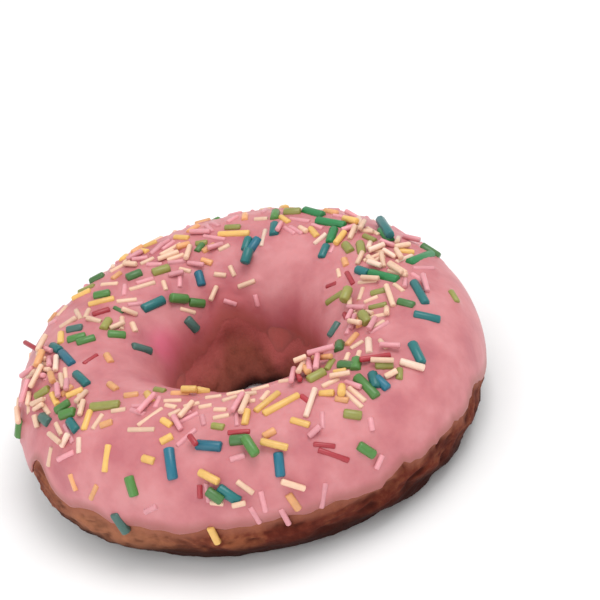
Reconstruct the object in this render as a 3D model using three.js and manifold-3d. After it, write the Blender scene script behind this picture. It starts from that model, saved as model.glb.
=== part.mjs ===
// Ring doughnut: fried dough, a poured coat of pink icing and sugar strands stuck in it, lying on its base.
// Millimetres, +Z up. The origin is on the base plane, under the middle of the whole.
// A place on the ring is named by two angles in degrees: `around` the hole, counter-clockwise from +X seen
// from above, and `over` the section: 0 at the widest place, 90 on the crest, 180 in the hole, 270 below.

import * as THREE from 'three';
import { mergeVertices } from 'three/addons/utils/BufferGeometryUtils.js';
import Module from 'manifold-3d';

const wasm = await Module();
wasm.setup();

// The ring, measured to the icing's face
const ringRadius = 29.2; // from the hole's axis to the middle of the ring
const ringHalfWidth = 14.9; // from there to the widest place
const equatorHeight = 10.9; // the widest place above the base
const crownRise = 13.9; // the crest above the widest place
const upperRoundness = 2.15; // 2 is an ellipse, more is squarer
const lowerRoundness = 2.5;
const holeRoundness = 5; // the hole's wall below its widest place draws back from the hole this squarely
const footReach = 6.6; // and runs this far inwards on its way down to the base
const footFadeIn = 0.5; // of the half width, over which the foot begins
const bellyReach = 1.15; // the belly would reach this many equator heights down, but for the flat base

// Unevenness of the dough
const lobeDepth = 0.72;
const lobeCount = 3;
const lobeAround = 74;
const ruffleDepth = 0.18;
const ruffleCount = 7;
const holeShift = new THREE.Vector2(-0.4, -0.2);
const crestLean = 0.3; // one side of the crest is this much higher than the middle, the other lower
const crestLeanAround = 130;

// The coat of icing
const coatThickness = 1.05;
const lipThickness = 0.55;
const lipRound = 0.25; // the lip's corner is this far below the coat's face
const lipLean = 1.2; // degrees that the lip's underside lies back from its corner
const lipTaper = 14; // degrees over which the coat thins towards its lip
const coatGap = 0.4; // air between the coat and the dough, so the two solids stay apart

// Where the coat ends: a level, and bells of [around, half width, degrees up (+) or down (-)] on it
const outerEdgeLevel = -2;
const outerEdgeBells = [
  [20, 8, 5], [50, 10, -6], [85, 9, 4], [120, 10, -7], [155, 8, 3], [190, 8, -8], [203.5, 6, 22],
  [222, 6, 4.5], [238, 8, 1], [257, 6, 2.5], [272, 9, 3], [285, 6, 1.5], [300, 4, 6], [309, 5, 5],
  [317, 4, 5], [330, 7, 7], [347, 10, -6],
];
const innerEdgeLevel = 180;
const innerEdgeBells = [
  [98, 15, -14], [62, 11, 15], [36, 9, 4], [166, 14, 8], [235, 16, -6], [290, 20, -8],
];

// Relief of the bare crust: rows of [waves around, waves over, turn, height]
const crustWaves = [[16, 5, 20, 0.26], [11, 8, 75, 0.22], [7, 3, 140, 0.16]];
const crackAround = 312; // the crust is torn most on this side, under the coat's highest stretch
const crackSpread = 26;
const crackDepth = 1.1;
const crackWavesAround = 9;
const crackWavesOver = 5;
const crustFadeIn = 7; // degrees from the lip over which the relief grows

// Steps of the faceted solids
const aroundSteps = 64; // the same for both, so that the gap between them holds
const coatOuterSteps = 14;
const coatInnerSteps = 12;
const crustStretches = [ // round the section, in degrees over
  { from: -58, to: 12, steps: 9 },
  { from: 12, to: 160, steps: 5 },
  { from: 160, to: 238, steps: 6 },
  { from: 238, to: 302, steps: 1 },
];

// Sugar strands: the thick ones, the middling and the fine
const gauges = {
  thick: { diameter: 1.9, length: 5.4, shortest: 3.4 },
  middling: { diameter: 1.45, length: 5.2, shortest: 3.2 },
  fine: { diameter: 1.15, length: 5, shortest: 3 },
};
const strandSides = 5;
const strandSink = 0.3; // the share of its diameter that a strand sinks in
const edgeRoom = 2; // degrees that a strand's ends keep from the lip

// Strands by gauge, each from one end to the other: [around, over, around, over]
const laidStrands = {
  thick: [
    [244.2, 61, 246.5, 38.5], [252, 63.5, 259.3, 60.5], [273.4, 49, 272.4, 31.5], [257.5, 32, 262, 20],
    [325, 68, 320, 54], [356.5, 76, 344, 70], [337.5, 77, 339.5, 57], [76, 102, 80.5, 115],
    [81, 113, 85, 127], [107.5, 121, 104.5, 137], [146.5, 121, 133, 126], [130, 148, 127, 161],
    [172.5, 70, 175.5, 81], [180, 80, 187.5, 92], [192.5, 86, 201.5, 88.5], [176, 127, 172.5, 143.5],
    [210.5, 61, 215.5, 55], [201.5, 54, 202, 45], [230.2, 8, 232.3, -5], [308, 75, 304.8, 64],
    [307.3, 69, 307, 60], [341, 130, 334, 138], [38, 57, 26, 62], [69, 88, 67.3, 103],
    [41.5, 101, 40.3, 112], [12, 103, 8, 99], [260, 112, 265, 116], [255.5, 31, 258.3, 24],
    [344, 86, 342, 75], [166.5, 80, 166.8, 92], [319.5, 117, 313, 111], [70.5, 73, 69.5, 86],
    [59, 72, 52, 80], [54, 84, 44, 77], [234.5, 38, 236.5, 24], [291.5, 35.5, 294.8, 21],
    [261.5, 64, 266.5, 63], [265.8, 62.5, 268, 49], [203, 58, 205.5, 71], [206, 60, 209.5, 67],
    [189.3, 30, 189.8, 15], [144, 92, 147, 83], [173, 83, 171.5, 96], [176, 88, 172.5, 101],
    [170.5, 108, 169, 121], [131, 129, 121, 137], [121, 139, 111.5, 147], [303.8, 80, 303, 58],
    [305, 95, 306.5, 89.5], [309.5, 90, 306.5, 86], [9, 99, -2, 84], [45, 88, 40.5, 101],
    [8, 70, 12.5, 50], [19.5, 47, 15, 36], [132, 92, 129, 94], [133.5, 68, 136.5, 58],
    [160.5, 105, 167, 104], [212, 77.5, 220, 88], [291.5, 96.5, 299, 98], [292.5, 60, 297, 50.5],
    [32, 95, 26, 97], [28, 88, 21, 93], [125, 102, 117, 107], [191, 53, 192.5, 66],
  ],
  middling: [
    [226, 57, 227.5, 37], [237.3, 52, 241, 50.5], [253.3, 44, 258.2, 36], [272.3, 80.5, 285.5, 87.5],
    [279.3, 69.5, 283.5, 60.5], [269.8, 58, 276, 49], [273, 18.5, 274.4, 5], [254, 3, 254.7, -9],
    [212.8, 76, 216, 61], [91, 94, 78, 99], [106, 78, 102, 88], [143, 74, 146, 60], [298, 79, 295.3, 71],
    [291, 82, 294.5, 76], [325, 106, 317, 108], [53, 93, 47, 99], [354, 48, 350, 43], [4, 121, 9, 137],
    [316, 66.5, 318.8, 50.5], [322, 95.5, 314.7, 88], [217.5, 95, 221.5, 101], [306.5, 106, 300, 99],
    [352, 103, 352, 92], [342, 104, 343, 92], [224, 112, 229, 112], [169.5, 78, 175.5, 76],
    [206, 99, 212, 98], [300.5, 93, 304, 89],
  ],
  fine: [
    [217, 27.5, 219.2, 16.5], [225.7, 26.5, 223.7, 14], [231.8, 75, 236, 92], [229.5, 70.5, 238, 74],
    [217.8, 77, 218.5, 64], [208.6, 39, 209, 24], [262.2, 35, 265.5, 24.5], [272.3, 29, 277, 19],
    [290.5, 84, 283.5, 67.5], [299.3, 76, 299.8, 60], [212, 33, 216.5, 44], [267.2, 25, 267.2, 9],
    [281.8, 18, 279.4, 1], [282.3, 47, 287, 40], [282.8, 42, 288.6, 27], [309, 86.5, 317, 75],
    [3.5, 72, 4.5, 55], [139, 101, 128, 110], [129, 139, 121, 149], [124.5, 113, 127.5, 121],
    [98.5, 129, 92, 133], [86.5, 144, 75, 141], [352.5, 92, 341, 88], [9.5, 84, 1, 78],
    [16, 101, 19.5, 93], [351, 112, 359, 107], [148, 101, 142.5, 112], [16, 110, 5, 112],
    [256, 84.5, 261.5, 86], [297.3, 75, 298, 57], [163, 46, 170, 55], [25, 55, 20.5, 48],
  ],
};

// Heaps of strands: middle, half widths, and how many lie in them
const heaps = [
  { around: 60, over: 38, aroundSpread: 60, overSpread: 24, count: 9 },
  { around: 150, over: 32, aroundSpread: 36, overSpread: 22, count: 6 },
  { around: 110, over: 88, aroundSpread: 34, overSpread: 24, count: 4 },
  { around: 20, over: 84, aroundSpread: 24, overSpread: 20, count: 3 },
];
const heapGauges = ['middling', 'thick', 'fine'];
const strandRoom = 2.6; // mm between the middles of two strands of a heap
const drawSeed = 20417;
const drawFactor = 48271; // Park and Miller's generator
const drawModulus = 2147483647;

const { degToRad, radToDeg, lerp, clamp, smoothstep } = THREE.MathUtils;
const squared = (value) => value * value;
const cosine = (degrees) => Math.cos(degToRad(degrees));
const sine = (degrees) => Math.sin(degToRad(degrees));
const rounded = (value, roundness) => Math.sign(value) * Math.abs(value) ** (2 / roundness);
const turnBetween = (from, to) => ((to - from + 540) % 360) - 180;
const bell = (around, middle, halfWidth) => Math.exp(-squared(turnBetween(middle, around) / halfWidth));

function edge(around, level, bells) {
  const rises = bells.map(([middle, halfWidth, rise]) => rise * bell(around, middle, halfWidth));
  return rises.reduce((over, rise) => over + rise, level);
}
const outerEdge = (around) => edge(around, outerEdgeLevel, outerEdgeBells);
const innerEdge = (around) => edge(around, innerEdgeLevel, innerEdgeBells);

// The point at these angles, a depth below the icing's face
function ringPoint(around, over, depth) {
  const outward = cosine(over);
  const upward = sine(over);
  const roundness = upward > 0 ? upperRoundness : lowerRoundness;
  const inHole = upward < 0 && outward < 0;
  const lobes = lobeDepth * cosine(lobeCount * (around - lobeAround));
  const ruffles = ruffleDepth * cosine(ruffleCount * around);
  const towardsHole = (1 - outward) / 2;
  const shift = (holeShift.x * cosine(around) + holeShift.y * sine(around)) * towardsHole;
  const lean = crestLean * cosine(around - crestLeanAround);
  const rise = upward > 0 ? crownRise + lean - depth : equatorHeight * bellyReach;
  const reach = (ringHalfWidth - depth) * rounded(outward, inHole ? holeRoundness : roundness);
  const height = Math.max(0, equatorHeight + rise * rounded(upward, roundness));
  const fall = smoothstep(equatorHeight - height, 0, equatorHeight);
  const foot = footReach * fall * smoothstep(-outward, 0, footFadeIn);
  const radius = ringRadius + lobes + ruffles + shift + reach - foot;
  return new THREE.Vector3(radius * cosine(around), radius * sine(around), height);
}

// How far over a point lies inside the coat's nearer edge, in degrees, negative outside it
const coverAt = (around, over) => Math.min(over - outerEdge(around), innerEdge(around) - over);

function thicknessAt(around, over) {
  return lerp(lipThickness, coatThickness, smoothstep(coverAt(around, over), 0, lipTaper));
}

// Depth of the dough's face: under the coat it follows the coat, and the bare crust is rough
function doughDepth(around, over) {
  const bare = smoothstep(-coverAt(around, over), 0, crustFadeIn);
  const ripple = crustWaves.reduce((sum, [wavesAround, wavesOver, turn, height]) => (
    sum + height * sine(wavesAround * around + turn) * sine(wavesOver * over + turn)), 0);
  const tears = squared(sine(crackWavesAround * around + crackWavesOver * over));
  const crack = crackDepth * bell(around, crackAround, crackSpread) * tears;
  return thicknessAt(around, over) + coatGap + bare * (ripple + crack);
}

// A ring of the given steps around its section, whose points `place` gives
function shapedRing(sectionSteps, place) {
  const ring = new THREE.TorusGeometry(ringRadius, ringHalfWidth, sectionSteps, aroundSteps);
  const { position, uv } = ring.attributes;
  for (let index = 0; index < position.count; index += 1) {
    const aroundStep = Math.round(uv.getX(index) * aroundSteps) % aroundSteps;
    const sectionStep = Math.round(uv.getY(index) * sectionSteps) % sectionSteps;
    position.setXYZ(index, ...place((aroundStep * 360) / aroundSteps, sectionStep));
  }
  ring.deleteAttribute('normal');
  ring.deleteAttribute('uv');
  return mergeVertices(ring);
}

function doughShape() {
  const overs = crustStretches.flatMap(({ from, to, steps }) => (
    Array.from({ length: steps }, (_, step) => lerp(from, to, step / steps))));
  return shapedRing(overs.length, (around, step) => (
    ringPoint(around, overs[step], doughDepth(around, overs[step]))));
}

// The coat's section runs up its face from lip to lip, and back along its underside
function coatShape() {
  const undersideStart = coatOuterSteps + 1;
  return shapedRing(undersideStart + coatInnerSteps + 1, (around, step) => {
    const outer = outerEdge(around);
    const inner = innerEdge(around);
    if (step < undersideStart) {
      const atLip = step === 0 || step === coatOuterSteps;
      return ringPoint(around, lerp(outer, inner, step / coatOuterSteps), atLip ? lipRound : 0);
    }
    const over = lerp(inner - lipLean, outer + lipLean, (step - undersideStart) / coatInnerSteps);
    return ringPoint(around, over, thicknessAt(around, over));
  });
}

// The direction out of the coat's face
function outwardAt(around, over) {
  const step = 0.5;
  const alongAround = ringPoint(around + step, over, 0).sub(ringPoint(around - step, over, 0));
  const alongOver = ringPoint(around, over + step, 0).sub(ringPoint(around, over - step, 0));
  return alongAround.cross(alongOver).normalize();
}

// A strand lying on the coat from one end to the other, drawn out to its gauge's shortest
function strandShape({ ends, gauge }) {
  const { diameter, shortest } = gauges[gauge];
  const [from, to] = ends.map(([around, over]) => (
    ringPoint(around, over, 0).addScaledVector(outwardAt(around, over), diameter * (0.5 - strandSink))));
  const axis = to.clone().sub(from);
  const length = Math.max(axis.length(), shortest);
  const side = axis.clone().cross(outwardAt(...ends[0])).normalize();
  axis.normalize();
  const place = new THREE.Matrix4().makeBasis(side, axis, side.clone().cross(axis));
  return new THREE.CylinderGeometry(diameter / 2, diameter / 2, length, strandSides)
    .applyMatrix4(place.setPosition(from.lerp(to, 0.5)));
}

// Every heap draws places until it is full, each clear of the heaped strands already laid
function heapedStrands() {
  let state = drawSeed;
  const draw = () => {
    state = (state * drawFactor) % drawModulus;
    return state / drawModulus;
  };
  const middles = [];
  const strands = [];
  for (const heap of heaps) {
    let laid = 0;
    while (laid < heap.count) {
      const around = heap.around + heap.aroundSpread * (draw() + draw() - 1);
      const over = heap.over + heap.overSpread * (draw() + draw() - 1);
      const heading = 180 * draw();
      const gauge = heapGauges[laid % heapGauges.length];
      const middle = ringPoint(around, over, 0);
      if (middles.every((other) => other.distanceTo(middle) > strandRoom)) {
        const halfLength = gauges[gauge].length / 2;
        const aroundReach = radToDeg(halfLength / Math.hypot(middle.x, middle.y)) * cosine(heading);
        const overReach = radToDeg(halfLength / ringHalfWidth) * sine(heading);
        middles.push(middle);
        strands.push({
          ends: [[around - aroundReach, over - overReach], [around + aroundReach, over + overReach]],
          gauge,
        });
        laid += 1;
      }
    }
  }
  return strands;
}

// Moves a strand over the ring until its ends are clear of both lips
function keptOnCoat({ ends, gauge }) {
  const below = ends.map(([around, over]) => outerEdge(around) + edgeRoom - over);
  const above = ends.map(([around, over]) => innerEdge(around) - edgeRoom - over);
  const rise = clamp(0, Math.max(...below), Math.min(...above));
  return { ends: ends.map(([around, over]) => [around, over + rise]), gauge };
}

function everyStrand() {
  const laid = Object.entries(laidStrands).flatMap(([gauge, rows]) => (
    rows.map((row) => ({ ends: [row.slice(0, 2), row.slice(2)], gauge }))));
  return [...laid, ...heapedStrands()].map(keptOnCoat);
}

function solidOf(geometry) {
  geometry.deleteAttribute('normal');
  geometry.deleteAttribute('uv');
  const merged = mergeVertices(geometry);
  return new wasm.Manifold(new wasm.Mesh({
    numProp: 3,
    vertProperties: new Float32Array(merged.attributes.position.array),
    triVerts: new Uint32Array(merged.index.array),
  }));
}

function geometryOf(solid) {
  const { vertProperties, triVerts } = solid.getMesh();
  const geometry = new THREE.BufferGeometry();
  geometry.setAttribute('position', new THREE.BufferAttribute(vertProperties, 3));
  geometry.setIndex(new THREE.BufferAttribute(triVerts, 1));
  return geometry;
}

// The coat with its strands. A pocket that crossing strands seal is a shell of its own, and is filled.
function icingShape() {
  const strands = everyStrand().map((strand) => solidOf(strandShape(strand)));
  const joined = strands.reduce((solid, strand) => solid.add(strand), solidOf(coatShape()));
  const [body] = joined.decompose().sort((one, other) => other.volume() - one.volume());
  return geometryOf(body);
}

const crustFinish = new THREE.MeshStandardMaterial({ color: '#9a5f43', roughness: 0.8, metalness: 0 });
const icingFinish = new THREE.MeshStandardMaterial({ color: '#e08f97', roughness: 0.4, metalness: 0 });

const dough = new THREE.Mesh(doughShape(), crustFinish);
dough.name = 'dough';
const icing = new THREE.Mesh(icingShape(), icingFinish);
icing.name = 'icing';

const doughnut = new THREE.Group();
doughnut.add(dough, icing);
const middleOfAll = new THREE.Box3().setFromObject(doughnut).getCenter(new THREE.Vector3());
doughnut.position.set(-middleOfAll.x, -middleOfAll.y, 0);

export default doughnut;
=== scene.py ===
import math
import random

import bpy
from mathutils import Matrix, Vector, noise
from mathutils.kdtree import KDTree


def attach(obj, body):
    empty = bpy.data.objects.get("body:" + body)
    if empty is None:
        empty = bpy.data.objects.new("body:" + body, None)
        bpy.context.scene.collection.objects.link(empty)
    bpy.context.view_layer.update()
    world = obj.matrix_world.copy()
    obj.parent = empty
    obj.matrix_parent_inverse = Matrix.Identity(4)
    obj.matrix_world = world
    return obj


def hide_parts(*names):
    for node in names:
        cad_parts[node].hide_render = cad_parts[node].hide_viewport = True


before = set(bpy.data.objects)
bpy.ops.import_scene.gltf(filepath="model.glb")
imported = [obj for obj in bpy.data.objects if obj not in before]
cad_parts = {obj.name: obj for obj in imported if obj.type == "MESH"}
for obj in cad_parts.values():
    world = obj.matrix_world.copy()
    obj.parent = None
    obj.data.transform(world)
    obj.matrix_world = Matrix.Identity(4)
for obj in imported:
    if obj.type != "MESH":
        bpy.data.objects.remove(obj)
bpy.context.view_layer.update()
bpy.ops.object.select_all(action="DESELECT")
print("frame loaded")

# Shapes are worked out in millimetres and written in metres. A place on the ring is named by two
# angles in degrees: around the hole, counter-clockwise from +X seen from above, and over the
# section, 0 at the widest place, 90 on the crest, 180 in the hole, 270 below.
mm = 0.001
crest = 90
chance = random.Random(20417)


def smoothstep(value, low, high):
    share = min(1, max(0, (value - low) / (high - low)))
    return share * share * (3 - 2 * share)


def blend(start, end, share):
    return start + (end - start) * share


def turnBetween(start, end):
    return (end - start + 540) % 360 - 180


def bell(around, middle, halfWidth):
    return math.exp(-((turnBetween(middle, around) / halfWidth) ** 2))


def linear(hexColour):
    # sRGB hex to linear, as the shader's sockets take it
    channels = [int(hexColour[start:start + 2], 16) / 255 for start in (1, 3, 5)]
    toLinear = [c / 12.92 if c <= 0.04045 else ((c + 0.055) / 1.055) ** 2.4 for c in channels]
    return (*toLinear, 1)


# the ring's form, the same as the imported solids'
ring = {
    "radius": 29.2,
    "halfWidth": 14.9,
    "equatorHeight": 10.9,
    "crownRise": 13.9,
    "upperRoundness": 2.15,
    "lowerRoundness": 2.5,
    "holeRoundness": 5,
    "footReach": 6.6,
    "footFadeIn": 0.5,
    "bellyReach": 1.15,
    "lobeDepth": 0.72,
    "lobeCount": 3,
    "lobeAround": 74,
    "ruffleDepth": 0.18,
    "ruffleCount": 7,
    "holeShift": (-0.4, -0.2),
    "crestLean": 0.3,
    "crestLeanAround": 130,
    "middle": (0.66, -0.22),  # the part's origin is under the middle of its whole box
}


def rounded(value, roundness):
    return math.copysign(abs(value) ** (2 / roundness), value)


def ringPoint(around, over, depth=0.0):
    # the point at these angles, a depth below the icing's face
    turn = math.radians(around)
    outward = math.cos(math.radians(over))
    upward = math.sin(math.radians(over))
    roundness = ring["upperRoundness"] if upward > 0 else ring["lowerRoundness"]
    lobes = ring["lobeDepth"] * math.cos(math.radians(ring["lobeCount"] * (around - ring["lobeAround"])))
    ruffles = ring["ruffleDepth"] * math.cos(ring["ruffleCount"] * turn)
    shift = ring["holeShift"][0] * math.cos(turn) + ring["holeShift"][1] * math.sin(turn)
    lean = ring["crestLean"] * math.cos(math.radians(around - ring["crestLeanAround"]))
    rise = ring["crownRise"] + lean - depth if upward > 0 else ring["equatorHeight"] * ring["bellyReach"]
    inHole = upward < 0 and outward < 0
    reach = (ring["halfWidth"] - depth) * rounded(outward, ring["holeRoundness"] if inHole else roundness)
    height = max(0, ring["equatorHeight"] + rise * rounded(upward, roundness))
    fall = smoothstep(ring["equatorHeight"] - height, 0, ring["equatorHeight"])
    foot = ring["footReach"] * fall * smoothstep(-outward, 0, ring["footFadeIn"])
    radius = ring["radius"] + lobes + ruffles + shift * (1 - outward) / 2 + reach - foot
    x, y = ring["middle"]
    return Vector((x + radius * math.cos(turn), y + radius * math.sin(turn), height))


def outwardAt(around, over):
    step = 0.5
    alongAround = ringPoint(around + step, over) - ringPoint(around - step, over)
    alongOver = ringPoint(around, over + step) - ringPoint(around, over - step)
    return alongAround.cross(alongOver).normalized()


# where the icing ends: a level, bells of (around, half width, degrees up or down), small waves
icingEdges = {
    "outerLevel": -2,
    "outerBells": [
        (20, 8, 5), (50, 10, -6), (85, 9, 4), (120, 10, -7), (155, 8, 3), (190, 8, -8), (203.5, 6, 22),
        (222, 6, 4.5), (238, 8, 1), (257, 6, 2.5), (272, 9, 3), (285, 6, 1.5), (300, 4, 6), (309, 5, 5),
        (317, 4, 5), (330, 7, 7), (347, 10, -6),
    ],
    "innerLevel": 180,
    "innerBells": [(98, 15, -14), (62, 11, 15), (36, 9, 4), (166, 14, 8), (235, 16, -6), (290, 20, -8)],
    "waves": [(23, 40, 0.7), (37, 110, 0.5), (61, 75, 0.35)],
    "torn": {"around": 311, "spread": 24, "waves": [(83, 20, 0.9), (127, 70, 0.7)]},
}


def wavesAt(around, waves):
    return sum(height * math.sin(math.radians(count * around + turn)) for count, turn, height in waves)


def edge(around, level, bells):
    rises = [rise * bell(around, middle, halfWidth) for middle, halfWidth, rise in bells]
    return level + sum(rises) + wavesAt(around, icingEdges["waves"])


def outerEdge(around):
    torn = icingEdges["torn"]
    jags = bell(around, torn["around"], torn["spread"]) * wavesAt(around, torn["waves"])
    return edge(around, icingEdges["outerLevel"], icingEdges["outerBells"]) + jags


def innerEdge(around):
    return edge(around, icingEdges["innerLevel"], icingEdges["innerBells"])


def shapedTorus(name, aroundSteps, sectionSteps, place):
    # a torus whose every point is put where place(around, sectionStep) says, in millimetres
    bpy.ops.object.select_all(action="DESELECT")
    bpy.ops.mesh.primitive_torus_add(
        major_segments=aroundSteps, minor_segments=sectionSteps,
        major_radius=ring["radius"] * mm, minor_radius=ring["halfWidth"] * mm)
    piece = bpy.context.object
    piece.name = piece.data.name = name
    steps = []
    for vertex in piece.data.vertices:
        turn = math.atan2(vertex.co.y, vertex.co.x)
        tilt = math.atan2(vertex.co.z, math.hypot(vertex.co.x, vertex.co.y) - ring["radius"] * mm)
        aroundStep = round(turn / math.tau * aroundSteps) % aroundSteps
        sectionStep = round(tilt / math.tau * sectionSteps) % sectionSteps
        steps.append((aroundStep, sectionStep))
        vertex.co = place(aroundStep * 360 / aroundSteps, sectionStep) * mm
    bpy.ops.object.shade_smooth()
    return piece, steps


def storeShares(piece, name, shares):
    # one number for each point of the mesh, which its material reads
    attribute = piece.data.attributes.new(name, "FLOAT", "POINT")
    attribute.data.foreach_set("value", shares)


# sugar strands
strandGauges = {
    "thick": {"diameter": 1.9, "length": 5.2, "shortest": 3.2},
    "middling": {"diameter": 1.4, "length": 5.0, "shortest": 2.4},
    "fine": {"diameter": 1.05, "length": 5.2, "shortest": 2.4},
}

strandColours = {
    "blue": {"hex": "#12667c", "gauge": "thick"},
    "teal": {"hex": "#126a6b", "gauge": "thick"},
    "darkTeal": {"hex": "#41655d", "gauge": "thick"},
    "green": {"hex": "#4a7c38", "gauge": "thick"},
    "darkGreen": {"hex": "#44703a", "gauge": "thick"},
    "emerald": {"hex": "#1f7a42", "gauge": "thick"},
    "lime": {"hex": "#919047", "gauge": "thick"},
    "yellow": {"hex": "#e2b464", "gauge": "middling"},
    "orange": {"hex": "#dfa16c", "gauge": "middling"},
    "cream": {"hex": "#e3bda2", "gauge": "fine"},
    "white": {"hex": "#e8c8b4", "gauge": "fine"},
    "pink": {"hex": "#da949b", "gauge": "fine"},
    "red": {"hex": "#a82f3a", "gauge": "fine"},
}

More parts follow.
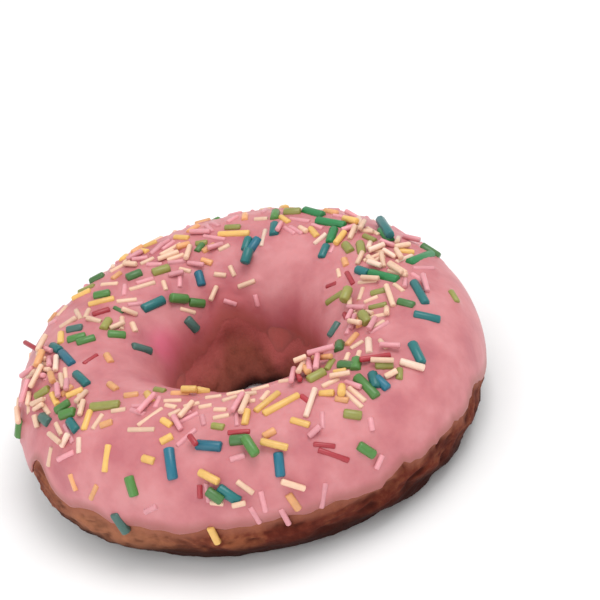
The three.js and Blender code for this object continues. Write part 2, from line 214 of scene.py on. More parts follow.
# strands that lie in known places: colour, gauge, and (around, over, around, over) of their two ends,
# followed by the millimetres by which each end stands up, where it does
laidStrands = [
    ("blue", "thick", [
        (244.2, 61, 246.5, 38.5), (252, 63.5, 259.3, 60.5), (273.4, 49, 272.4, 31.5),
        (73.9, 105.4, 77.8, 117.1), (105.9, 122.3, 107.7, 133.6),
        (177.8, 78.5, 187, 85.8), (307.3, 69, 307, 60),
    ]),
    ("teal", "thick", [
        (257.5, 32, 262, 20), (325, 68, 320, 54), (355.1, 75.3, 343.8, 67.5), (77.2, 118.5, 79.6, 127.7),
        (146.5, 121, 133, 126), (192.5, 86, 201.5, 88.5), (209.2, 62.1, 214.1, 58.2),
        (308, 75, 304.8, 64), (35.1, 59.1, 22.6, 70.3, 1.1, 1.1), (68.4, 91, 67.1, 103.5),
        (39.2, 102.4, 36.3, 113.4), (12, 103, 7.5, 100), (337.7, 74.5, 338.6, 55.5),
        (172, 69.8, 176.8, 77.6), (78.2, 104.8, 79.7, 114.8),
    ]),
    ("darkTeal", "thick", [
        (130, 148, 127, 161), (166, 79.4, 165.8, 89.9), (176, 127, 172.5, 143.5),
        (199.1, 50.6, 203.3, 51.8), (230.2, 8, 232.3, -5), (341, 130, 334, 138),
    ]),
    ("darkGreen", "thick", [
        (255.5, 31, 258.3, 24), (344, 86, 342, 75), (319.5, 117, 313, 111),
        (261.5, 64, 266.5, 63), (305, 95, 306.5, 89.5), (19.5, 47, 15, 36),
        (132, 92, 129, 94), (133.5, 68, 136.5, 58),
    ]),
    ("green", "thick", [
        (70.5, 73, 69.5, 86), (234.5, 38, 236.5, 24), (292, 34.5, 294.5, 22.5),
        (265.8, 62.5, 268, 49), (202.6, 60.8, 203.9, 72.2), (205.3, 60.6, 208.8, 69.5),
        (189.3, 30, 189.8, 15),
        (144, 92, 147, 83), (172.3, 82, 171.4, 93.7), (175.2, 88.7, 173.2, 100.2), (170.5, 108, 169, 121),
        (131, 129, 121, 137), (121, 139, 111.5, 147), (303.8, 80, 303, 58), (309.5, 90, 306.5, 86),
    ]),
    ("emerald", "thick", [
        (6.7, 98.6, 356.9, 84.8), (43.4, 87.8, 39, 100), (6.6, 72.6, 14.8, 44.2), (53, 84.9, 41.1, 81.2),
        (61.1, 71, 52.6, 76.7), (30.8, 66, 22.5, 69.6),
    ]),
    ("darkGreen", "middling", [
        (101.5, 104, 98.5, 100),
    ]),
    ("lime", "thick", [
        (160.5, 105, 167, 104), (212, 77.5, 220, 88), (291.5, 96.5, 299, 98),
        (293.2, 59, 296.3, 52.5), (32, 95, 26, 97), (28, 88, 21, 93), (125, 102, 117, 107),
        (191, 53, 192.5, 66), (67.3, 76.3, 61.5, 74.5),
    ]),
    ("orange", "middling", [
        (217.5, 95, 221.5, 101), (271.5, 63, 273.5, 64.5), (273, 18.5, 274.4, 5),
        (220.5, 69, 222.5, 73), (100.9, 114.9, 98.2, 118.7), (185, 108, 191.5, 110), (206, 99, 212, 98),
        (236, 117, 243, 122), (233, 110, 241, 114), (294, 72, 296, 67), (325, 106, 317, 108),
        (25, 104, 19.5, 107), (295, 112.5, 293.6, 100.8, 1, 1), (134, 82, 133, 82),
    ]),
    ("lime", "middling", [
        (306.5, 106, 300, 99), (256.5, 78, 259.5, 76), (31, 81, 25, 79), (354, 48, 350, 43),
        (4, 121, 9, 137), (140, 72, 142, 58), (224, 112, 229, 112), (352, 103, 352, 92),
        (342, 104, 343, 92), (314, 63, 312, 59.5), (88, 88.6, 81.9, 90.9), (100.4, 96.8, 96.4, 99.1),
    ]),
    ("darkGreen", "fine", [
        (152, 104, 153, 110),
    ]),
    ("yellow", "middling", [
        (226, 57, 227.5, 37), (237.3, 52, 241, 50.5), (241.5, 65, 244.3, 70),
        (253.3, 44, 258.2, 36), (270, 84.5, 280, 96), (272.3, 80.5, 285.5, 87.5),
        (279.3, 69.5, 283.5, 60.5), (269.8, 58, 276, 49), (254, 3, 254.7, -9), (212.8, 76, 216, 61),
        (91, 94, 78, 99), (106, 78, 102, 88), (143, 74, 146, 60), (166.2, 74.6, 172.6, 77.1),
        (195, 66, 201, 65), (244, 118, 248, 122), (238, 111, 245, 113), (300.5, 93, 304, 89),
        (298, 79, 295.3, 71), (291, 82, 294.5, 76), (53, 93, 47, 99),
    ]),
    ("orange", "fine", [
        (217, 27.5, 219.2, 16.5), (225.7, 26.5, 223.7, 14), (303, 120, 305.8, 104, 1.2, 1.2),
    ]),
    ("cream", "fine", [
        (231.8, 75, 236, 92), (229.5, 70.5, 238, 74), (240.5, 87, 243, 91), (234, 99, 241, 102),
        (236, 95, 241, 94), (250, 95, 254, 97), (258, 101, 264, 105), (265, 103, 272, 104),
        (250, 107, 257, 109.5), (259, 110.5, 267, 112), (270, 110, 278, 110.5),
        (256, 84.5, 261.5, 86), (256.5, 92, 259.5, 91), (217.8, 77, 218.5, 64),
        (205.5, 55, 210, 50.5), (208.6, 39, 209, 24), (262.2, 35, 265.5, 24.5),
        (272.3, 29, 277, 19), (297.3, 75, 298, 57), (299.3, 76, 299.8, 60), (219.5, 81, 223.5, 86),
        (255.5, 22, 258, 20.5), (261, 20, 263, 20.5), (198, 48, 200, 43), (309.5, 66, 312, 63),
        (311.5, 100, 308.5, 97), (314, 94, 311, 91.5), (283, 112, 287, 108), (139, 101, 128, 110),
        (148, 101, 142.5, 112), (153.5, 110, 151.5, 121), (129, 139, 121, 149),
        (124.5, 113, 127.5, 121), (98.5, 129, 92, 133), (88.8, 126, 87.3, 135),
        (86.5, 144, 75, 141), (108, 147, 99.5, 139), (92, 110, 87.5, 108), (113, 113, 110, 118),
        (16, 101, 19.5, 93), (9.5, 84, 1, 78), (351, 112, 359, 107), (347.5, 108, 349, 98),
        (352.5, 92, 341, 88), (21.5, 113, 16.5, 116), (175.3, 37, 175.3, 56.8), (191.8, 31, 186.8, 34.6),
        (183.3, 24, 179.6, 28.5), (293, 116.9, 298.6, 115, 2.4, 2.4), (290.4, 104.4, 298.2, 119, 1.4, 1.4),
    ]),
    ("white", "fine", [
        (290.5, 84, 283.5, 67.5), (71.5, 96.4, 72, 113.1),
    ]),
    ("white", "middling", [
        (316, 66.5, 318.8, 50.5), (322, 95.5, 314.7, 88),
    ]),
    ("cream", "middling", [
        (158, 121, 163.5, 127),
    ]),
    ("pink", "fine", [
        (212, 33, 216.5, 44), (238.7, 13, 242, 18.5), (267.2, 25, 267.2, 9), (264, 15, 265.3, 1.5),
        (270.6, 9, 271.5, -3), (281.8, 18, 279.4, 1), (254.8, 36, 255, 22), (288.3, 67, 286, 55),
        (282, 53, 285.5, 56), (298, 48, 296.7, 39), (296, 21, 293.5, 14), (246.5, 63, 251.2, 76),
        (261.2, 50.5, 265.2, 52), (251.8, 88, 253.5, 79), (98, 151, 90, 157), (113, 80, 108, 78),
        (117.5, 84, 111, 82), (3.5, 72, 4.5, 55), (25, 55, 20.5, 48), (76, 152, 75, 161),
        (186.6, 29.5, 184.9, 40.1), (303.9, 113.6, 296.6, 100.8, 0.8, 0.8),
        (285.5, 97.7, 291.8, 117, 1.2, 1.2),
        (294.2, 101.3, 301.2, 122, 1.3, 1.3), (300.5, 117, 309.5, 106, 2.6, 2.2),
    ]),
    ("red", "fine", [
        (282.3, 47, 287, 40), (282.8, 42, 288.6, 27), (309, 86.5, 317, 75), (261, 71, 267.5, 69),
        (188.5, 92, 184.5, 102), (250.8, 67, 252.5, 62), (253.2, 34, 253, 26), (286, 86, 286.8, 79),
        (16, 110, 5, 112), (18, 127, 15, 122), (347, 125, 341, 122), (170.3, 57.3, 164.6, 44.5, 0, 2.2),
        (291.4, 112.2, 289.1, 98.4, 0.7, 0.7),
    ]),
    ("red", "middling", [
        (158, 92, 153.5, 101),
    ]),
]

# heaps: middle, half widths, how many, and how many parts of each colour
strandHeaps = [
    {"around": 20, "over": 85, "spread": (30, 20), "count": 62,
     "mix": {"emerald": 1, "green": 1, "lime": 2, "yellow": 2, "orange": 1, "cream": 9, "white": 3,
             "pink": 5}},
    {"around": 56, "over": 84, "spread": (20, 18), "count": 34,
     "mix": {"emerald": 1, "teal": 1, "lime": 2, "yellow": 2, "orange": 1, "cream": 6, "pink": 6}},
    {"around": 112, "over": 94, "spread": (34, 28), "count": 40,
     "mix": {"lime": 1, "yellow": 1, "orange": 2, "cream": 9, "pink": 12}},
    {"around": 158, "over": 100, "spread": (16, 24), "count": 11,
     "mix": {"lime": 1, "yellow": 2, "orange": 2, "cream": 5, "pink": 5, "red": 1}},
    {"around": 193, "over": 63, "spread": (25, 20), "count": 68,
     "mix": {"yellow": 1, "orange": 2, "cream": 12, "white": 4, "pink": 7}},
    {"around": 245, "over": 90, "spread": (34, 12), "count": 26,
     "mix": {"lime": 1, "yellow": 4, "orange": 3, "cream": 7, "pink": 8}},
    {"around": 305, "over": 88, "spread": (16, 20), "count": 34,
     "mix": {"green": 1, "lime": 3, "yellow": 3, "orange": 2, "cream": 6, "pink": 3}},
    {"around": 346, "over": 104, "spread": (22, 16), "count": 32,
     "mix": {"lime": 3, "yellow": 1, "orange": 1, "cream": 9, "pink": 5}},
    {"around": 90, "over": 22, "spread": (42, 15), "count": 34,
     "mix": {"green": 3, "darkGreen": 1, "teal": 2, "blue": 2, "lime": 3, "yellow": 4, "orange": 3,
             "cream": 8, "pink": 4, "red": 1}},
    {"around": 86, "over": 46, "spread": (34, 13), "count": 14,
     "mix": {"yellow": 1, "orange": 1, "cream": 6, "pink": 6}},
    {"around": 134, "over": 50, "spread": (26, 18), "count": 11,
     "mix": {"yellow": 1, "orange": 1, "cream": 6, "pink": 7}},
    {"around": 40, "over": 24, "spread": (22, 11), "count": 9,
     "mix": {"green": 1, "blue": 1, "yellow": 1, "cream": 3, "pink": 2}},
    {"around": 144, "over": 14, "spread": (24, 12), "count": 12,
     "mix": {"green": 1, "teal": 1, "yellow": 1, "cream": 3, "pink": 2}},
    {"around": 298, "over": 107, "spread": (10, 12), "count": 16,
     "mix": {"orange": 2, "cream": 4, "pink": 5, "red": 1}},
]

strandLay = {
    "sink": 0.33,  # the share of its diameter that a strand sinks in
    "closeness": 0.74,  # strands come this share of their radii near each other
    "showing": 0.62,  # the same, for how near heaped ones come over or before singly laid ones
    "samples": 7,  # points along a strand that keep clear
    "neighbourhood": 7.5,
    "lifts": [(0, 0), (0.5, 0), (0, 0.5), (0.6, 0.6), (1.1, 0.3), (0.3, 1.1), (1.1, 1.1), (1.5, 1.5)],
    "tries": 40,
    "shares": (0.26, 0.46),  # a heaped strand's half length, as a share of its gauge's length
    "ceiling": 26.5,  # mm above the base that no strand passes
    "edgeRoom": 3,
    "seenFrom": (0, -0.83, 0.55),  # heaped strands don't stand before singly laid ones, seen from here
    "skyline": 0.35,  # heaped strands that face less than this share that way lie flat
}


def strandLine(ends, gauge, lifts=(0, 0)):
    # the strand's two ends in millimetres, drawn out to its gauge's shortest
    size = strandGauges[gauge]
    rest = size["diameter"] * (0.5 - strandLay["sink"])
    start, end = [ringPoint(*place) + outwardAt(*place) * (rest + lift) for place, lift in zip(ends, lifts)]
    missing = size["shortest"] - (end - start).length
    if missing > 0:
        out = (end - start).normalized() * missing / 2
        start, end = start - out, end + out
    return start, end


def samplesOf(line):
    steps = strandLay["samples"] - 1
    return [line[0].lerp(line[1], step / steps) for step in range(steps + 1)]


def isClear(line, diameter, others, evenAlong=None):
    # evenAlong: a direction along which the distance doesn't count
    middle = (line[0] + line[1]) / 2
    points = samplesOf(line)
    for other in others:
        if (other["middle"] - middle).length > strandLay["neighbourhood"]:
            continue
        room = strandLay["showing" if evenAlong else "closeness"] * (diameter + other["diameter"]) / 2
        up = evenAlong or Vector()
        for one in points:
            for two in other["points"]:
                apart = one - two
                if (apart - up * apart.dot(up)).length < room:
                    return False
    return True


def laidDown(ends, colour, gauge, others, heaped, raised=(0, 0)):
    # lies at its place, or a little higher on what is already there, but not on one laid singly
    diameter = strandGauges[gauge]["diameter"]
    lines = [strandLine(ends, gauge, [up + lift for up, lift in zip(raised, lifts)])
             for lifts in strandLay["lifts"]]
    if heaped:
        single = [other for other in others if not other["heaped"]]
        outward, view = outwardAt(*ends[0]), Vector(strandLay["seenFrom"]).normalized()
        if not all(isClear(lines[0], diameter, single, along) for along in (outward, view)):
            return False
        if outward.dot(view) < strandLay["skyline"]:
            lines = lines[:1]
            if gauge == "thick" and outward.dot(view) > -strandLay["skyline"]:
                return False
    clear = [line for line in lines if isClear(line, diameter, others)
             and max(end.z for end in line) + diameter / 2 < strandLay["ceiling"]]
    if heaped and not clear:
        return False
    line = clear[0] if clear else lines[0]
    others.append({
        "line": line, "colour": colour, "gauge": gauge, "diameter": diameter,
        "middle": (line[0] + line[1]) / 2, "points": samplesOf(line),
        "outward": outwardAt(*ends[0]), "heaped": heaped,
    })
    return True


def layStrands():
    strands = []
    for colour, gauge, rows in laidStrands:
        for row in rows:
            laidDown((row[:2], row[2:4]), colour, gauge, strands, heaped=False, raised=row[4:] or (0, 0))
    for heap in strandHeaps:
        colours, parts = zip(*heap["mix"].items())
        for _ in range(heap["count"]):
            for _ in range(strandLay["tries"]):
                around = heap["around"] + heap["spread"][0] * (chance.random() + chance.random() - 1)
                over = heap["over"] + heap["spread"][1] * (chance.random() + chance.random() - 1)
                heading = chance.uniform(0, math.pi)
                colour = chance.choices(colours, parts)[0]
                gauge = strandColours[colour]["gauge"]
                half = strandGauges[gauge]["length"] * chance.uniform(*strandLay["shares"])
                middle = ringPoint(around, over)
                aroundReach = math.degrees(half / math.hypot(middle.x, middle.y)) * math.cos(heading)
                overReach = math.degrees(half / ring["halfWidth"]) * math.sin(heading)
                ends = ((around - aroundReach, over - overReach), (around + aroundReach, over + overReach))
                low = min(place[1] - outerEdge(place[0]) for place in ends)
                if low > strandLay["edgeRoom"] and laidDown(ends, colour, gauge, strands, heaped=True):
                    break
    return strands


strands = layStrands()
print("strands laid:", len(strands))


# the coat of icing, a shell with a rounded lip all round
icing = {
    "aroundSteps": 480,
    "faceSteps": 100,
    "lipSteps": 6,
    "undersideSteps": 8,
    "thickness": 1.05,
    "outerLip": 0.4,
    "outerTaper": 14,
    "innerLip": 0.05,  # in the hole it runs out to almost nothing
    "innerTaper": 40,
    "closeRows": (0.998, 0.9996, 1),  # the last rows of the face, so close that the inner lip casts no line
    "swell": 0.14,  # height of the slow rises and dips of the poured icing
    "swellSize": 9,
    "collar": 0.28,  # the icing climbs this far up the foot of each strand
    "collarReach": 0.75,
    "riseFadeIn": 4,  # degrees from its edges over which the swell and the collars come in
    "beadHeight": 0.04,  # the icing gathers in a low bead above its lip
    "beadAt": 5,
    "outerThinning": 10,  # degrees from the lip over which the crust shows through
    # also how far the painted shade of the icing reaches down the hole
    "innerThinning": 48,
    "flush": {"around": 157, "aroundSpread": 15, "over": 155, "overSpread": 18},  # a redder patch in the hole
}


def coverAt(around, over):
    return min(over - outerEdge(around), innerEdge(around) - over)


def thicknessAt(around, over):
    full = icing["thickness"]
    outer = blend(icing["outerLip"], full, smoothstep(over - outerEdge(around), 0, icing["outerTaper"]))
    inner = blend(icing["innerLip"], full, smoothstep(innerEdge(around) - over, 0, icing["innerTaper"]))
    return min(outer, inner)


# points along all strands, each with the radius of its strand
strandPoints = [(point, strand["diameter"] / 2) for strand in strands for point in strand["points"]]
strandTree = KDTree(len(strandPoints))
for index, (point, _) in enumerate(strandPoints):
    strandTree.insert(point, index)
strandTree.balance()


def faceRise(around, over):
    # how far the icing's face stands out here, with its swell, its bead and the strands' collars
    point = ringPoint(around, over)
    swell = icing["swell"] * noise.noise(point / icing["swellSize"])
    aboveLip = over - outerEdge(around)
    bead = icing["beadHeight"] * math.exp(-(((aboveLip - icing["beadAt"]) / icing["beadAt"]) ** 2))
    _, index, distance = strandTree.find(point)
    near = max(0, distance - strandPoints[index][1])
    collar = icing["collar"] * math.exp(-((near / icing["collarReach"]) ** 2))
    return (swell + collar) * smoothstep(coverAt(around, over), 0, icing["riseFadeIn"]) + bead


def buildIcing():
    lipSteps, faceSteps, undersideSteps = icing["lipSteps"], icing["faceSteps"], icing["undersideSteps"]
    outerHalf, innerHalf = icing["outerLip"] / 2, icing["innerLip"] / 2
    outerReach, innerReach = [math.degrees(half / ring["halfWidth"]) for half in (outerHalf, innerHalf)]
    sectionSteps = 2 * lipSteps + faceSteps + undersideSteps
    closeRows = icing["closeRows"]
    evenSteps = faceSteps + 1 - len(closeRows)
    faceShares = [closeRows[0] * step / evenSteps for step in range(evenSteps)] + [*closeRows]
    edges = {}

    def place(around, step):
        if around not in edges:
            edges[around] = (outerEdge(around), innerEdge(around))
        outer, inner = edges[around]
        if step < lipSteps:  # round the outer lip, from below
            turn = math.pi * (step / lipSteps - 0.5)
            over = outer + outerReach * (1 - math.cos(turn))
            return ringPoint(around, over, outerHalf * (1 - math.sin(turn)))
        step -= lipSteps
        if step <= faceSteps:
            over = blend(outer + outerReach, inner - innerReach, faceShares[step])
            return ringPoint(around, over, -faceRise(around, over))
        step -= faceSteps
        if step < lipSteps:
            turn = math.pi * (0.5 - step / lipSteps)
            over = inner - innerReach * (1 - math.cos(turn))
            return ringPoint(around, over, innerHalf * (1 - math.sin(turn)))
        over = blend(inner - innerReach, outer + outerReach, (step - lipSteps) / undersideSteps)
        return ringPoint(around, over, thicknessAt(around, over))

    piece, steps = shapedTorus("icingCoat", icing["aroundSteps"], sectionSteps, place)
    outerThinness, innerThinnessAndShade, flushes = [], [], []
    flush = icing["flush"]
    for aroundStep, sectionStep in steps:
        around = aroundStep * 360 / icing["aroundSteps"]
        outer, inner = edges[around]
        over = blend(outer, inner, faceShares[min(faceSteps, max(0, sectionStep - lipSteps))])
        outerThinness.append(max(0, 1 - (over - outer) / icing["outerThinning"]))
        innerThinnessAndShade.append(max(0, 1 - (inner - over) / icing["innerThinning"]))
        flushes.append(bell(around, flush["around"], flush["aroundSpread"])
                       * bell(over, flush["over"], flush["overSpread"]))
    storeShares(piece, "outerThinness", outerThinness)
    storeShares(piece, "innerThinnessAndShade", innerThinnessAndShade)
    storeShares(piece, "flush", flushes)
    return piece


icingCoat = buildIcing()
print("icing built:", len(icingCoat.data.polygons), "faces")


# the ring of dough: smooth under the icing, torn and porous where it is bare, flat below
dough = {
    "aroundSteps": 640,
    "stretches": [(-60, 22, 68), (22, 150, 10), (150, 238, 40), (238, 300, 4)],
    "gap": 0.03,
    "waves": [(16, 5, 20, 0.26), (11, 8, 75, 0.22), (7, 3, 140, 0.16)],
    "tears": {"around": 312, "spread": 26, "depth": 1.1, "wavesAround": 9, "wavesOver": 5},
    "outerFadeIn": 5,
    "innerFadeIn": 16,
    "noiseDepth": 1,  # mm below the icing's face, where the relief's noise is read
    "lumps": {"size": 3.8, "height": 0.45, "fractal": (0.9, 2.2, 4)},  # H, lacunarity, octaves
    "crumbs": {"size": 1.3, "height": 0.22, "fractal": (1.0, 2.1, 3), "inHole": 0.35},
    "pits": {"size": 3.2, "depth": 0.7, "noiseRange": (0.2, 0.6), "noiseShift": (7, 3, 1), "squash": 1.5,
             "elsewhere": 0.4, "inHole": 0.25},
    # painted shade in the recesses: how much each gives at most, and how far below 0 the lumps' and crumbs'
    # noise is by then
    "recessShades": {"pit": 0.8, "torn": 0.4, "lump": 0.5, "lumpFall": 0.4, "crumb": 0.5, "crumbFall": 0.8},
    "bulge": (219, 15, 0.55),  # around, half width and height: the foot stands out here
    "litSide": (226, 20),  # around, and half width: painted light, the crust lightest on this side
    # around, and half width: painted shade, the crust darker and redder on this side
    "shadedSide": (292, 34),
    "outerSmear": 8,  # degrees beyond the lip that a film of icing reaches
    "innerSmear": 26,
    "holeRecess": 0.7,  # below the icing's inner lip the wall draws back by this much
    "holeRecessReach": 30,
    "wallComesIn": (100, 150),  # over: where the colour of the hole's wall begins and is full
    "wallGoesOut": (204, 232),
}


def crustRelief(around, over):
    # depth of the bare crust at this place, and the painted shade of its recesses from 0 to 1
    inHole = over > crest
    waves = sum(height * math.sin(math.radians(countAround * around + turn))
                * math.sin(math.radians(countOver * over + turn))
                for countAround, countOver, turn, height in dough["waves"])
    tears = dough["tears"]
    torn = bell(around, tears["around"], tears["spread"])
    torn *= math.sin(math.radians(tears["wavesAround"] * around + tears["wavesOver"] * over)) ** 2
    point = ringPoint(around, over, dough["noiseDepth"])
    lumps = dough["lumps"]
    lump = lumps["height"] * noise.fractal(point / lumps["size"], *lumps["fractal"])
    pits = dough["pits"]
    flat = Vector((point.x, point.y, point.z * pits["squash"]))
    pit = smoothstep(noise.noise(flat / pits["size"] + Vector(pits["noiseShift"])), *pits["noiseRange"])
    nearTears = bell(around, tears["around"], 2 * tears["spread"])
    pit *= pits["inHole"] if inHole else max(pits["elsewhere"], nearTears)
    crumbs = dough["crumbs"]
    crumb = noise.fractal(point / crumbs["size"], *crumbs["fractal"]) * (crumbs["inHole"] if inHole else 1)
    bulgeAround, bulgeSpread, bulgeHeight = dough["bulge"]
    depth = waves - bulgeHeight * bell(around, bulgeAround, bulgeSpread) + tears["depth"] * torn
    depth += pits["depth"] * pit - lump - crumbs["height"] * crumb
    recessShades = dough["recessShades"]
    recessShade = recessShades["pit"] * pit + recessShades["torn"] * torn
    recessShade += recessShades["lump"] * smoothstep(-lump, 0, recessShades["lumpFall"])
    recessShade += recessShades["crumb"] * smoothstep(-crumb, 0, recessShades["crumbFall"])
    return depth, min(1, recessShade)


def buildDough():
    overs = [blend(start, end, step / steps)
             for start, end, steps in dough["stretches"] for step in range(steps)]
    recessShades, walls, smears = {}, {}, {}

    def place(around, step):
        over = overs[step]
        inHole = over > crest
        bare = smoothstep(-coverAt(around, over), 0, dough["innerFadeIn" if inHole else "outerFadeIn"])
        depth, recessShade = crustRelief(around, over) if bare > 0 else (0, 0)
        recessShades[around, step] = recessShade * bare
        gone = smoothstep(over, *dough["wallGoesOut"])
        walls[around, step] = smoothstep(over, *dough["wallComesIn"]) * (1 - gone)
        beyond = over - innerEdge(around) if inHole else outerEdge(around) - over
        smears[around, step] = 1 - min(1, max(0, beyond) / dough["innerSmear" if inHole else "outerSmear"])
        recess = dough["holeRecess"] * smoothstep(over - innerEdge(around), 0, dough["holeRecessReach"])
        return ringPoint(around, over, thicknessAt(around, over) + dough["gap"] + bare * depth + recess)

    piece, steps = shapedTorus("doughRing", dough["aroundSteps"], len(overs), place)
    places = [(aroundStep * 360 / dough["aroundSteps"], sectionStep) for aroundStep, sectionStep in steps]
    storeShares(piece, "recessShade", [recessShades[placed] for placed in places])
    storeShares(piece, "insideHole", [walls[placed] for placed in places])
    storeShares(piece, "smear", [smears[placed] for placed in places])
    storeShares(piece, "litSide", [bell(around, *dough["litSide"]) for around, _ in places])
    storeShares(piece, "shadedSide", [bell(around, *dough["shadedSide"]) for around, _ in places])
    return piece


doughRing = buildDough()
print("dough built:", len(doughRing.data.polygons), "faces")


# one strand of each gauge, modelled once, and a copy of it at every place
strandForm = {"sides": 8, "endRound": 0.16, "endSteps": 2, "bow": 0.16, "thicknessSpread": 0.07}


def strandPattern(gauge):
    bpy.ops.object.select_all(action="DESELECT")
    size = strandGauges[gauge]
    bpy.ops.mesh.primitive_cylinder_add(
        vertices=strandForm["sides"], radius=size["diameter"] / 2 * mm, depth=size["length"] * mm)
    pattern = bpy.context.object
    bpy.ops.object.mode_set(mode="EDIT")
    bpy.ops.mesh.select_mode(type="EDGE")
    bpy.ops.mesh.select_all(action="DESELECT")
    bpy.ops.object.mode_set(mode="OBJECT")
    vertices = pattern.data.vertices
    for meshEdge in pattern.data.edges:
        first, second = [vertices[index].co.z for index in meshEdge.vertices]
        meshEdge.select = math.isclose(first, second, abs_tol=0.01 * mm)
    bpy.ops.object.mode_set(mode="EDIT")
    rounding = size["diameter"] * strandForm["endRound"] * mm
    bpy.ops.mesh.bevel(offset=rounding, segments=strandForm["endSteps"], affect="EDGES")
    bpy.ops.object.mode_set(mode="OBJECT")
    bpy.ops.object.shade_smooth()
    return pattern


def copiedStrand(pattern, strand):
    start, end = strand["line"]
    axis = (end - start).normalized()
    side = axis.cross(strand["outward"]).normalized()
    facing = side.cross(axis)
    grow = ((end - start).length - strandGauges[strand["gauge"]]["length"]) / 2 * mm
    half = (end - start).length / 2 * mm
    thick = 1 + strandForm["thicknessSpread"] * chance.uniform(-1, 1)
    bow = strandForm["bow"] * chance.uniform(-1, 1) * mm
    roll = Matrix.Rotation(chance.uniform(0, math.tau), 3, "Z")
    turned = Matrix((side, facing, axis)).transposed()
    middle = (start + end) / 2 * mm
    mesh = pattern.data.copy()
    for vertex in mesh.vertices:
        local = roll @ vertex.co
        local.z += grow if local.z > 0 else -grow
        local.x = local.x * thick + bow * (1 - (local.z / half) ** 2)
        local.y *= thick
        vertex.co = middle + turned @ local
    copy = bpy.data.objects.new("strand", mesh)
    bpy.context.collection.objects.link(copy)
    storeShares(copy, "tint", [chance.random()] * len(mesh.vertices))
    return copy


def buildStrands():
    patterns = {gauge: strandPattern(gauge) for gauge in strandGauges}
    pieces = {}
    for colour in strandColours:
        copies = [copiedStrand(patterns[strand["gauge"]], strand)
                  for strand in strands if strand["colour"] == colour]
        bpy.ops.object.select_all(action="DESELECT")
        for copy in copies:
            copy.select_set(True)
        bpy.context.view_layer.objects.active = copies[0]
        bpy.ops.object.join()
        piece = bpy.context.object
        piece.name = piece.data.name = colour + "Strands"
        pieces[colour] = piece
    for pattern in patterns.values():
        bpy.data.objects.remove(pattern)
    return pieces


strandPieces = buildStrands()
print("strand pieces:", {colour: len(piece.data.polygons) for colour, piece in strandPieces.items()})


# materials
def addNode(tree, kind, settings=None, values=None, links=None):
    node = tree.nodes.new(kind)
    for name, value in (settings or {}).items():
        setattr(node, name, value)
    for name, value in (values or {}).items():
        node.inputs[name].default_value = value
    for name, source in (links or {}).items():
        tree.links.new(source, node.inputs[name])
    return node


def newMaterial(name, values):
    material = bpy.data.materials.new(name)
    material.use_nodes = True
    tree = material.node_tree
    shader = tree.nodes["Principled BSDF"]
    for socket, value in values.items():
        shader.inputs[socket].default_value = value
    place = addNode(tree, "ShaderNodeTexCoord").outputs["Object"]
    perMillimetre = addNode(tree, "ShaderNodeMapping", values={"Scale": (1 / mm, 1 / mm, 1 / mm)},
                            links={"Vector": place}).outputs["Vector"]
    return material, tree, shader, perMillimetre


# Fondant icing, poured warm and set: satin, a little light goes into it, thin at its edge so that the crust
# shows through, with painted shade deepening its rose down into the hole, and a faint grain of sugar
fondant = {
    "tones": [(0.32, "#b96b72"), (0.5, "#c67b7f"), (0.68, "#d08a8d")],  # deep, middling and pale pink
    "overlays": [  # attribute, where the colour begins and is full, its share, the colour
        ("flush", 0, 1, 0.85, "#dc6c88"),
        ("outerThinness", 0, 1, 0.85, "#a0605a"),
        # partly the icing thinning towards the hole, partly painted shade: a deeper rose down the hole's wall
        ("innerThinnessAndShade", 0.1, 0.7, 0.7, "#b6585e"),
        ("innerThinnessAndShade", 0.55, 1, 0.92, "#aa554e"),
    ],
    "cloudSize": 7,  # mm, as are the sizes and heights below
    "grain": {"size": 0.35, "height": 0.04, "strength": 0.25},
    "dimples": {"size": 1.6, "height": 0.2, "strength": 0.35},
    "roughness": (0.34, 0.52),  # differs from cloud to cloud
    "thinRoughness": 0.35,  # so much duller where it runs out in the hole
}


def makeFondant():
    material, tree, shader, place = newMaterial("pouredFondantIcing", {
        "IOR": 1.48,
        "Specular IOR Level": 0.35,
        "Subsurface Weight": 0.22,
        "Subsurface Radius": (1.0, 0.35, 0.3),
        "Subsurface Scale": 0.0012,
    })
    clouds = addNode(tree, "ShaderNodeTexNoise", values={"Scale": 1 / fondant["cloudSize"], "Detail": 4.0},
                     links={"Vector": place})
    tones = addNode(tree, "ShaderNodeValToRGB", links={"Fac": clouds.outputs["Fac"]})
    tones.color_ramp.elements.new(0.5)
    for stop, (position, tone) in zip(tones.color_ramp.elements, fondant["tones"]):
        stop.position = position
        stop.color = linear(tone)
    colour = tones.outputs["Color"]
    for attributeName, low, high, share, overColour in fondant["overlays"]:
        stored = addNode(tree, "ShaderNodeAttribute", {"attribute_name": attributeName})
        shown = addNode(tree, "ShaderNodeMapRange", {"interpolation_type": "SMOOTHSTEP"},
                        {"From Min": low, "From Max": high, "To Max": share},
                        {"Value": stored.outputs["Fac"]})
        colour = addNode(tree, "ShaderNodeMix", {"data_type": "RGBA"}, {7: linear(overColour)},
                         {0: shown.outputs["Result"], 6: colour}).outputs[2]
    tree.links.new(colour, shader.inputs["Base Color"])
    smoothest, roughest = fondant["roughness"]
    sheen = addNode(tree, "ShaderNodeMapRange", values={"To Min": smoothest, "To Max": roughest},
                    links={"Value": clouds.outputs["Fac"]})
    film = addNode(tree, "ShaderNodeAttribute", {"attribute_name": "innerThinnessAndShade"})
    dulled = addNode(tree, "ShaderNodeMath", {"operation": "MULTIPLY_ADD"}, {1: fondant["thinRoughness"]},
                     {0: film.outputs["Fac"], 2: sheen.outputs["Result"]})
    tree.links.new(dulled.outputs[0], shader.inputs["Roughness"])
    below = {}
    for relief in (fondant["grain"], fondant["dimples"]):
        waves = addNode(tree, "ShaderNodeTexNoise", values={"Scale": 1 / relief["size"], "Detail": 2.0},
                        links={"Vector": place})
        bump = addNode(tree, "ShaderNodeBump",
                       values={"Strength": relief["strength"], "Distance": relief["height"] * mm},
                       links={"Height": waves.outputs["Fac"], **below})
        below = {"Normal": bump.outputs["Normal"]}
    tree.links.new(below["Normal"], shader.inputs["Normal"])
    return material
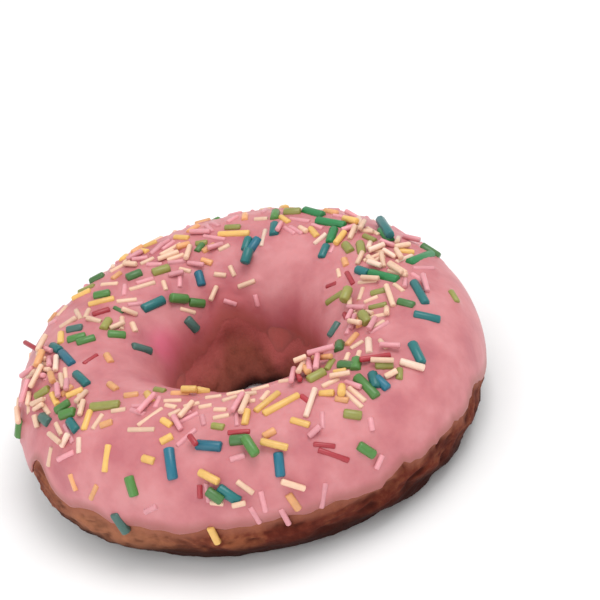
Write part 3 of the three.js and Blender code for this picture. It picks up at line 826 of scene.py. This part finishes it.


# Crust of dough fried in oil: dry and matt, red-brown, with painted shade in its tears and pores and at its
# base, painted light on its front-left and painted shade on its front-right, and a fine blistered grain
crust = {
    "tones": [(0.35, "#521d11"), (0.5, "#6f3222"), (0.65, "#955639")],  # dark, middling and pale brown
    "layers": [  # one over the other: what the colour follows, its share at most, the colour
        # painted light: the crust lighter on its front-left
        ("litSide", 0.6, "#ae7556"),
        # painted shade: the crust darker on its front-right
        ("shadedSide", 0.5, "#581a0d"),
        # painted shade: the crust darkens to near-black towards its base
        ("low", 0.94, "#230703"),
        ("insideHole", 0.75, "#9a5446"),
        ("darkPatches", 0.7, "#6e3a2e"),
        # painted shade: near-black in the crust's pores, tears and the low places of its relief
        ("recessShade", 0.9, "#380f06"),
        ("outerFilm", 0.7, "#a0634f"),
        ("innerFilm", 0.95, "#b45d5a"),
    ],
    "baseShadeHeights": (7.4, 3.6),  # mm: painted shade towards the base, darker below the first, darkest up to the second
    "patchSize": 5,
    "darkPatchRange": (0.5, 0.68),  # of the patches' noise
    "mottleSize": 1.3,
    "grain": {"size": 0.45, "height": 0.2, "strength": 0.6},
}


def makeCrust():
    material, tree, shader, place = newMaterial("friedDoughCrust", {
        "Roughness": 0.85,
        "IOR": 1.45,
        "Specular IOR Level": 0.2,
        "Subsurface Weight": 0.05,
        "Subsurface Radius": (1.0, 0.4, 0.2),
        "Subsurface Scale": 0.001,
    })
    patches = addNode(tree, "ShaderNodeTexNoise", values={"Scale": 1 / crust["patchSize"], "Detail": 6.0},
                      links={"Vector": place})
    mottle = addNode(tree, "ShaderNodeTexNoise", values={"Scale": 1 / crust["mottleSize"], "Detail": 3.0},
                     links={"Vector": place})
    both = addNode(tree, "ShaderNodeMath", {"operation": "ADD"}, None,
                   {0: patches.outputs["Fac"], 1: mottle.outputs["Fac"]})
    halved = addNode(tree, "ShaderNodeMath", {"operation": "MULTIPLY"}, {1: 0.5}, {0: both.outputs[0]})
    tones = addNode(tree, "ShaderNodeValToRGB", links={"Fac": halved.outputs[0]})
    tones.color_ramp.elements.new(0.5)
    for stop, (position, tone) in zip(tones.color_ramp.elements, crust["tones"]):
        stop.position = position
        stop.color = linear(tone)
    height = addNode(tree, "ShaderNodeSeparateXYZ", links={0: place}).outputs["Z"]
    ranges = {
        # the painted shade towards the base follows the height
        "low": (height, crust["baseShadeHeights"]),
        "patches": (patches.outputs["Fac"], crust["darkPatchRange"]),
    }
    for name in ("litSide", "shadedSide", "insideHole", "recessShade", "smear"):
        stored = addNode(tree, "ShaderNodeAttribute", {"attribute_name": name})
        ranges[name] = (stored.outputs["Fac"], (0, 1))
    follows = {}
    for name, (source, (begins, full)) in ranges.items():
        follows[name] = addNode(tree, "ShaderNodeMapRange", {"interpolation_type": "SMOOTHSTEP"},
                                {"From Min": begins, "From Max": full}, {"Value": source}).outputs["Result"]
    for name, operation, first, second in (
            ("darkPatches", "MULTIPLY", "patches", "insideHole"),
            ("outerFilm", "SUBTRACT", "smear", "insideHole"),
            ("innerFilm", "MULTIPLY", "smear", "insideHole")):
        follows[name] = addNode(tree, "ShaderNodeMath", {"operation": operation}, None,
                                {0: follows[first], 1: follows[second]}).outputs[0]
    colour = tones.outputs["Color"]
    for name, most, overColour in crust["layers"]:
        share = addNode(tree, "ShaderNodeMath", {"operation": "MULTIPLY"}, {1: most}, {0: follows[name]})
        colour = addNode(tree, "ShaderNodeMix", {"data_type": "RGBA"}, {7: linear(overColour)},
                         {0: share.outputs[0], 6: colour}).outputs[2]
    tree.links.new(colour, shader.inputs["Base Color"])
    grain = crust["grain"]
    blisters = addNode(tree, "ShaderNodeTexNoise", values={"Scale": 1 / grain["size"], "Detail": 4.0},
                       links={"Vector": place})
    bump = addNode(tree, "ShaderNodeBump",
                   values={"Strength": grain["strength"], "Distance": grain["height"] * mm},
                   links={"Height": blisters.outputs["Fac"]})
    tree.links.new(bump.outputs["Normal"], shader.inputs["Normal"])
    return material


# Pressed sugar strands with a thin confectioner's glaze: smooth, a soft shine, each a little lighter
# or darker than the next
sugar = {
    "mottle": {"size": 0.9, "height": 0.06, "strength": 0.3},  # mm
    "tintRange": (0.3, 1.7),  # of the strand's own tint and the mottle together
    "values": (0.84, 1.16),  # darkest and lightest
}


def makeSugar(colourName, hexColour):
    material, tree, shader, place = newMaterial(colourName + "GlazedSugar", {
        "Roughness": 0.38,
        "IOR": 1.5,
        "Subsurface Weight": 0.12,
        "Subsurface Radius": (1.0, 1.0, 1.0),
        "Subsurface Scale": 0.0004,
        "Coat Weight": 0.15,
        "Coat Roughness": 0.25,
    })
    tint = addNode(tree, "ShaderNodeAttribute", {"attribute_name": "tint"})
    mottle = sugar["mottle"]
    specks = addNode(tree, "ShaderNodeTexNoise", values={"Scale": 1 / mottle["size"], "Detail": 2.0},
                     links={"Vector": place})
    spread = addNode(tree, "ShaderNodeMath", {"operation": "ADD"}, None,
                     {0: tint.outputs["Fac"], 1: specks.outputs["Fac"]})
    low, high = sugar["tintRange"]
    darkest, lightest = sugar["values"]
    value = addNode(tree, "ShaderNodeMapRange",
                    values={"From Min": low, "From Max": high, "To Min": darkest, "To Max": lightest},
                    links={"Value": spread.outputs[0]})
    colour = addNode(tree, "ShaderNodeHueSaturation", values={"Color": linear(hexColour)},
                     links={"Value": value.outputs["Result"]})
    tree.links.new(colour.outputs["Color"], shader.inputs["Base Color"])
    bump = addNode(tree, "ShaderNodeBump",
                   values={"Strength": mottle["strength"], "Distance": mottle["height"] * mm},
                   links={"Height": specks.outputs["Fac"]})
    tree.links.new(bump.outputs["Normal"], shader.inputs["Normal"])
    return material


def finishPiece(piece, material, node):
    piece.data.materials.clear()
    piece.data.materials.append(material)
    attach(piece, "root")
    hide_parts(node)


finishPiece(doughRing, makeCrust(), "dough")
finishPiece(icingCoat, makeFondant(), "icing")
for colourName, strandPiece in strandPieces.items():
    finishPiece(strandPiece, makeSugar(colourName, strandColours[colourName]["hex"]), "icing")
print("materials set")


# floor, light and camera
studio = {
    "floorSize": 6,  # metres, as are the lights' places and sizes
    "floorColour": "#f7f7f7",
    "fibreSize": 5,  # mm
    "fibreValues": (0.99, 1.01),
    "skyColour": (1.0, 1.0, 1.0, 1),
    "skyStrength": 0.86,
    "keyPlace": (0.22, -0.02, 0.8),
    "keySize": 0.45,
    "keyPower": 2.8,
    "fillPlace": (-0.5, -0.7, 0.35),
    "fillSize": 0.8,
    "fillPower": 2,
}


def addAreaLight(name, place, size, power):
    bpy.ops.object.light_add(type="AREA", location=place)
    light = bpy.context.object
    light.name = name
    light.data.energy = power
    light.data.size = size
    light.rotation_euler = (-Vector(place)).to_track_quat("-Z", "Y").to_euler()


def makeStudio():
    bpy.ops.object.select_all(action="DESELECT")
    bpy.ops.mesh.primitive_plane_add(size=studio["floorSize"])
    floor = bpy.context.object
    floor.name = "floor"
    material, tree, shader, place = newMaterial("pearlWhiteFloorPaper", {"Roughness": 0.9})
    fibres = addNode(tree, "ShaderNodeTexNoise", values={"Scale": 1 / studio["fibreSize"], "Detail": 3.0},
                     links={"Vector": place})
    darkest, lightest = studio["fibreValues"]
    value = addNode(tree, "ShaderNodeMapRange", values={"To Min": darkest, "To Max": lightest},
                    links={"Value": fibres.outputs["Fac"]})
    colour = addNode(tree, "ShaderNodeHueSaturation", values={"Color": linear(studio["floorColour"])},
                     links={"Value": value.outputs["Result"]})
    tree.links.new(colour.outputs["Color"], shader.inputs["Base Color"])
    floor.data.materials.append(material)
    addAreaLight("keyLight", studio["keyPlace"], studio["keySize"], studio["keyPower"])
    addAreaLight("fillLight", studio["fillPlace"], studio["fillSize"], studio["fillPower"])
    world = bpy.data.worlds.new("paleRoom")
    world.use_nodes = True
    bpy.context.scene.world = world
    background = world.node_tree.nodes["Background"]
    background.inputs["Color"].default_value = studio["skyColour"]
    background.inputs["Strength"].default_value = studio["skyStrength"]
    bpy.context.scene.view_settings.view_transform = "Standard"


camera = {
    "elevation": 33.6,
    "roll": 13.7,
    "distance": 398.4,  # mm from the ring's middle on the base plane
    "middleRight": -6.8,  # mm by which the ring's middle lies right of and above the view's middle
    "middleUp": -22.83,
    "lens": 125.6,
    "nearest": 10,  # mm: what is nearer isn't drawn
}


def makeCamera():
    elevation, roll = math.radians(camera["elevation"]), math.radians(camera["roll"])
    levelRight = Vector((1, 0, 0))
    levelUp = Vector((0, math.sin(elevation), math.cos(elevation)))
    forward = Vector((0, math.cos(elevation), -math.sin(elevation)))
    right = levelRight * math.cos(roll) - levelUp * math.sin(roll)
    up = levelRight * math.sin(roll) + levelUp * math.cos(roll)
    target = Vector((*ring["middle"], 0))
    place = target - right * camera["middleRight"] - up * camera["middleUp"] - forward * camera["distance"]
    turned = Matrix((right, up, -forward)).transposed().to_4x4()
    bpy.ops.object.camera_add()
    viewer = bpy.context.object
    viewer.name = "camera"
    viewer.matrix_world = Matrix.Translation(place * mm) @ turned
    viewer.data.lens = camera["lens"]
    viewer.data.clip_start = camera["nearest"] * mm
    bpy.context.scene.camera = viewer


makeStudio()
makeCamera()
print("studio and camera set")
